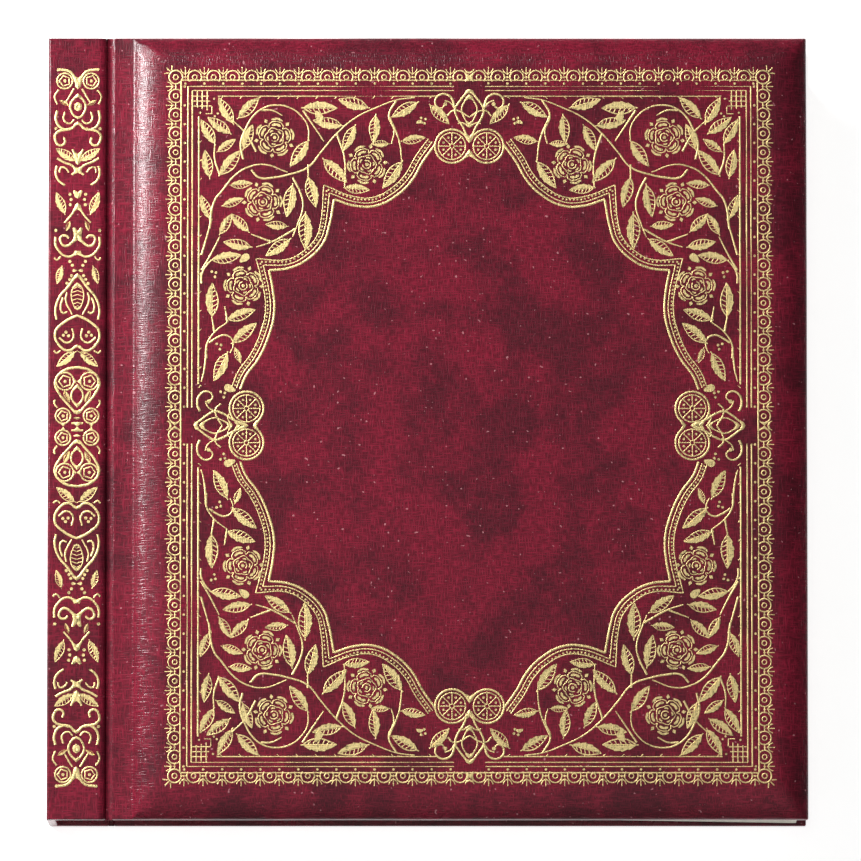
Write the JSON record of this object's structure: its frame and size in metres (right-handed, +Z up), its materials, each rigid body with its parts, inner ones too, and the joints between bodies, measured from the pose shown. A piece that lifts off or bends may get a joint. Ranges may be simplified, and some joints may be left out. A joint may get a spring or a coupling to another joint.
{
  "type": "stamp album",
  "caption": "Padded stamp album with a burgundy leatherette case, gilt floral cover ornament, concealed binding posts and hinged stock leaves.",
  "frame": {"origin": "centre of the footprint, on the surface the closed album lies on", "axes": "+X from the spine to the fore-edge, +Y from tail to head, +Z up through the front cover"},
  "size_m": [0.292, 0.302, 0.0412],
  "materials": {
    "leatherette": "semi-gloss, marbled burgundy, fine linen emboss",
    "gold_foil": "hot-stamped gold foil, satin",
    "grey_board": "raw grey board",
    "foam": "open-cell foam",
    "endpaper": "uncoated paper",
    "page_card": "uncoated cream card",
    "linen": "woven linen tape",
    "clear_film": "clear polyester film",
    "nickel": "nickel plated, turned"
  },
  "bodies": {
    "back_cover": {"back_cover_board": "grey_board", "back_cover_covering": "leatherette", "back_endpaper": "endpaper", "back_groove_cloth": "leatherette"},
    "binding_block": {"spine_board": "grey_board", "spine_covering": "leatherette", "back_strip_board": "grey_board", "back_strip_covering": "leatherette", "front_flange": "grey_board", "back_flange": "grey_board", "leaf_stubs": "page_card", "binding_posts": "nickel"},
    "front_strip": {"front_strip_board": "grey_board", "front_strip_covering": "leatherette", "front_groove_cloth": "leatherette"},
    "front_cover": {"front_cover_board": "grey_board", "front_cover_pad": "foam", "front_cover_covering": "leatherette", "front_endpaper": "endpaper"},
    "post_screw_1": {"post_screw_1": "nickel"},
    "post_screw_2": {"post_screw_2": "nickel"},
    "post_screw_3": {"post_screw_3": "nickel"},
    "leaf_1": {"leaf_1_card": "page_card", "leaf_1_guard": "linen", "leaf_1_pockets": "clear_film"},
    "leaf_2": {"leaf_2_card": "page_card", "leaf_2_guard": "linen", "leaf_2_pockets": "clear_film"},
    "leaf_3": {"leaf_3_card": "page_card", "leaf_3_guard": "linen", "leaf_3_pockets": "clear_film"},
    "leaf_4": {"leaf_4_card": "page_card", "leaf_4_guard": "linen", "leaf_4_pockets": "clear_film"},
    "leaf_5": {"leaf_5_card": "page_card", "leaf_5_guard": "linen", "leaf_5_pockets": "clear_film"},
    "leaf_6": {"leaf_6_card": "page_card", "leaf_6_guard": "linen", "leaf_6_pockets": "clear_film"},
    "leaf_7": {"leaf_7_card": "page_card", "leaf_7_guard": "linen", "leaf_7_pockets": "clear_film"},
    "leaf_8": {"leaf_8_card": "page_card", "leaf_8_guard": "linen", "leaf_8_pockets": "clear_film"},
    "leaf_9": {"leaf_9_card": "page_card", "leaf_9_guard": "linen", "leaf_9_pockets": "clear_film"},
    "leaf_10": {"leaf_10_card": "page_card", "leaf_10_guard": "linen", "leaf_10_pockets": "clear_film"},
    "leaf_11": {"leaf_11_card": "page_card", "leaf_11_guard": "linen", "leaf_11_pockets": "clear_film"},
    "leaf_12": {"leaf_12_card": "page_card", "leaf_12_guard": "linen", "leaf_12_pockets": "clear_film"}
  },
  "joints": [
    {"name": "back_cover_hinge", "type": "hinge", "parent": "back_cover", "child": "binding_block", "pos_m": [-0.12185, 0, 0], "axis": [0, 1, 0], "range_deg": [-90, 0]},
    {"name": "front_strip_lift", "type": "hinge", "parent": "binding_block", "child": "front_strip", "pos_m": [-0.146, 0, 0.0364], "axis": [0, -1, 0], "range_deg": [0, 30]},
    {"name": "front_cover_hinge", "type": "hinge", "parent": "front_strip", "child": "front_cover", "pos_m": [-0.12185, 0, 0.0364], "axis": [0, -1, 0], "range_deg": [0, 155]},
    {"name": "leaf_1_turn", "type": "hinge", "parent": "binding_block", "child": "leaf_1", "pos_m": [-0.104, 0, 0.0281], "axis": [0, -1, 0], "range_deg": [0, 119.3]},
    {"name": "leaf_2_turn", "type": "hinge", "parent": "binding_block", "child": "leaf_2", "pos_m": [-0.10148, 0, 0.0263], "axis": [0, -1, 0], "range_deg": [0, 109]},
    {"name": "leaf_3_turn", "type": "hinge", "parent": "binding_block", "child": "leaf_3", "pos_m": [-0.09952, 0, 0.0245], "axis": [0, -1, 0], "range_deg": [0, 98.7]},
    {"name": "leaf_4_turn", "type": "hinge", "parent": "binding_block", "child": "leaf_4", "pos_m": [-0.09812, 0, 0.0227], "axis": [0, -1, 0], "range_deg": [0, 88.3]},
    {"name": "leaf_5_turn", "type": "hinge", "parent": "binding_block", "child": "leaf_5", "pos_m": [-0.09728, 0, 0.0209], "axis": [0, -1, 0], "range_deg": [0, 78]},
    {"name": "leaf_6_turn", "type": "hinge", "parent": "binding_block", "child": "leaf_6", "pos_m": [-0.097, 0, 0.0191], "axis": [0, -1, 0], "range_deg": [0, 67.7]},
    {"name": "leaf_7_turn", "type": "hinge", "parent": "binding_block", "child": "leaf_7", "pos_m": [-0.097, 0, 0.0173], "axis": [0, -1, 0], "range_deg": [0, 57.3]},
    {"name": "leaf_8_turn", "type": "hinge", "parent": "binding_block", "child": "leaf_8", "pos_m": [-0.097, 0, 0.0155], "axis": [0, -1, 0], "range_deg": [0, 47]},
    {"name": "leaf_9_turn", "type": "hinge", "parent": "binding_block", "child": "leaf_9", "pos_m": [-0.097, 0, 0.0137], "axis": [0, -1, 0], "range_deg": [0, 36.7]},
    {"name": "leaf_10_turn", "type": "hinge", "parent": "binding_block", "child": "leaf_10", "pos_m": [-0.097, 0, 0.0119], "axis": [0, -1, 0], "range_deg": [0, 26.3]},
    {"name": "leaf_11_turn", "type": "hinge", "parent": "binding_block", "child": "leaf_11", "pos_m": [-0.097, 0, 0.0101], "axis": [0, -1, 0], "range_deg": [0, 16]},
    {"name": "leaf_12_turn", "type": "hinge", "parent": "binding_block", "child": "leaf_12", "pos_m": [-0.097, 0, 0.0083], "axis": [0, -1, 0], "range_deg": [0, 5.7]},
    {"name": "post_screw_1_turn", "type": "hinge", "parent": "binding_block", "child": "post_screw_1", "pos_m": [-0.134, -0.096, 0.0322], "axis": [0, 0, 1], "continuous": true},
    {"name": "post_screw_2_turn", "type": "hinge", "parent": "binding_block", "child": "post_screw_2", "pos_m": [-0.134, 0, 0.0322], "axis": [0, 0, 1], "continuous": true},
    {"name": "post_screw_3_turn", "type": "hinge", "parent": "binding_block", "child": "post_screw_3", "pos_m": [-0.134, 0.096, 0.0322], "axis": [0, 0, 1], "continuous": true}
  ],
  "couplings": [
    {"joint": "leaf_1_turn", "follows": "front_cover_hinge", "ratio": 0.7667},
    {"joint": "leaf_2_turn", "follows": "front_cover_hinge", "ratio": 0.7},
    {"joint": "leaf_3_turn", "follows": "front_cover_hinge", "ratio": 0.6333},
    {"joint": "leaf_4_turn", "follows": "front_cover_hinge", "ratio": 0.5667},
    {"joint": "leaf_5_turn", "follows": "front_cover_hinge", "ratio": 0.5},
    {"joint": "leaf_6_turn", "follows": "front_cover_hinge", "ratio": 0.4333},
    {"joint": "leaf_7_turn", "follows": "front_cover_hinge", "ratio": 0.3667},
    {"joint": "leaf_8_turn", "follows": "front_cover_hinge", "ratio": 0.3},
    {"joint": "leaf_9_turn", "follows": "front_cover_hinge", "ratio": 0.2333},
    {"joint": "leaf_10_turn", "follows": "front_cover_hinge", "ratio": 0.1667},
    {"joint": "leaf_11_turn", "follows": "front_cover_hinge", "ratio": 0.1},
    {"joint": "leaf_12_turn", "follows": "front_cover_hinge", "ratio": 0.0333}
  ]
}
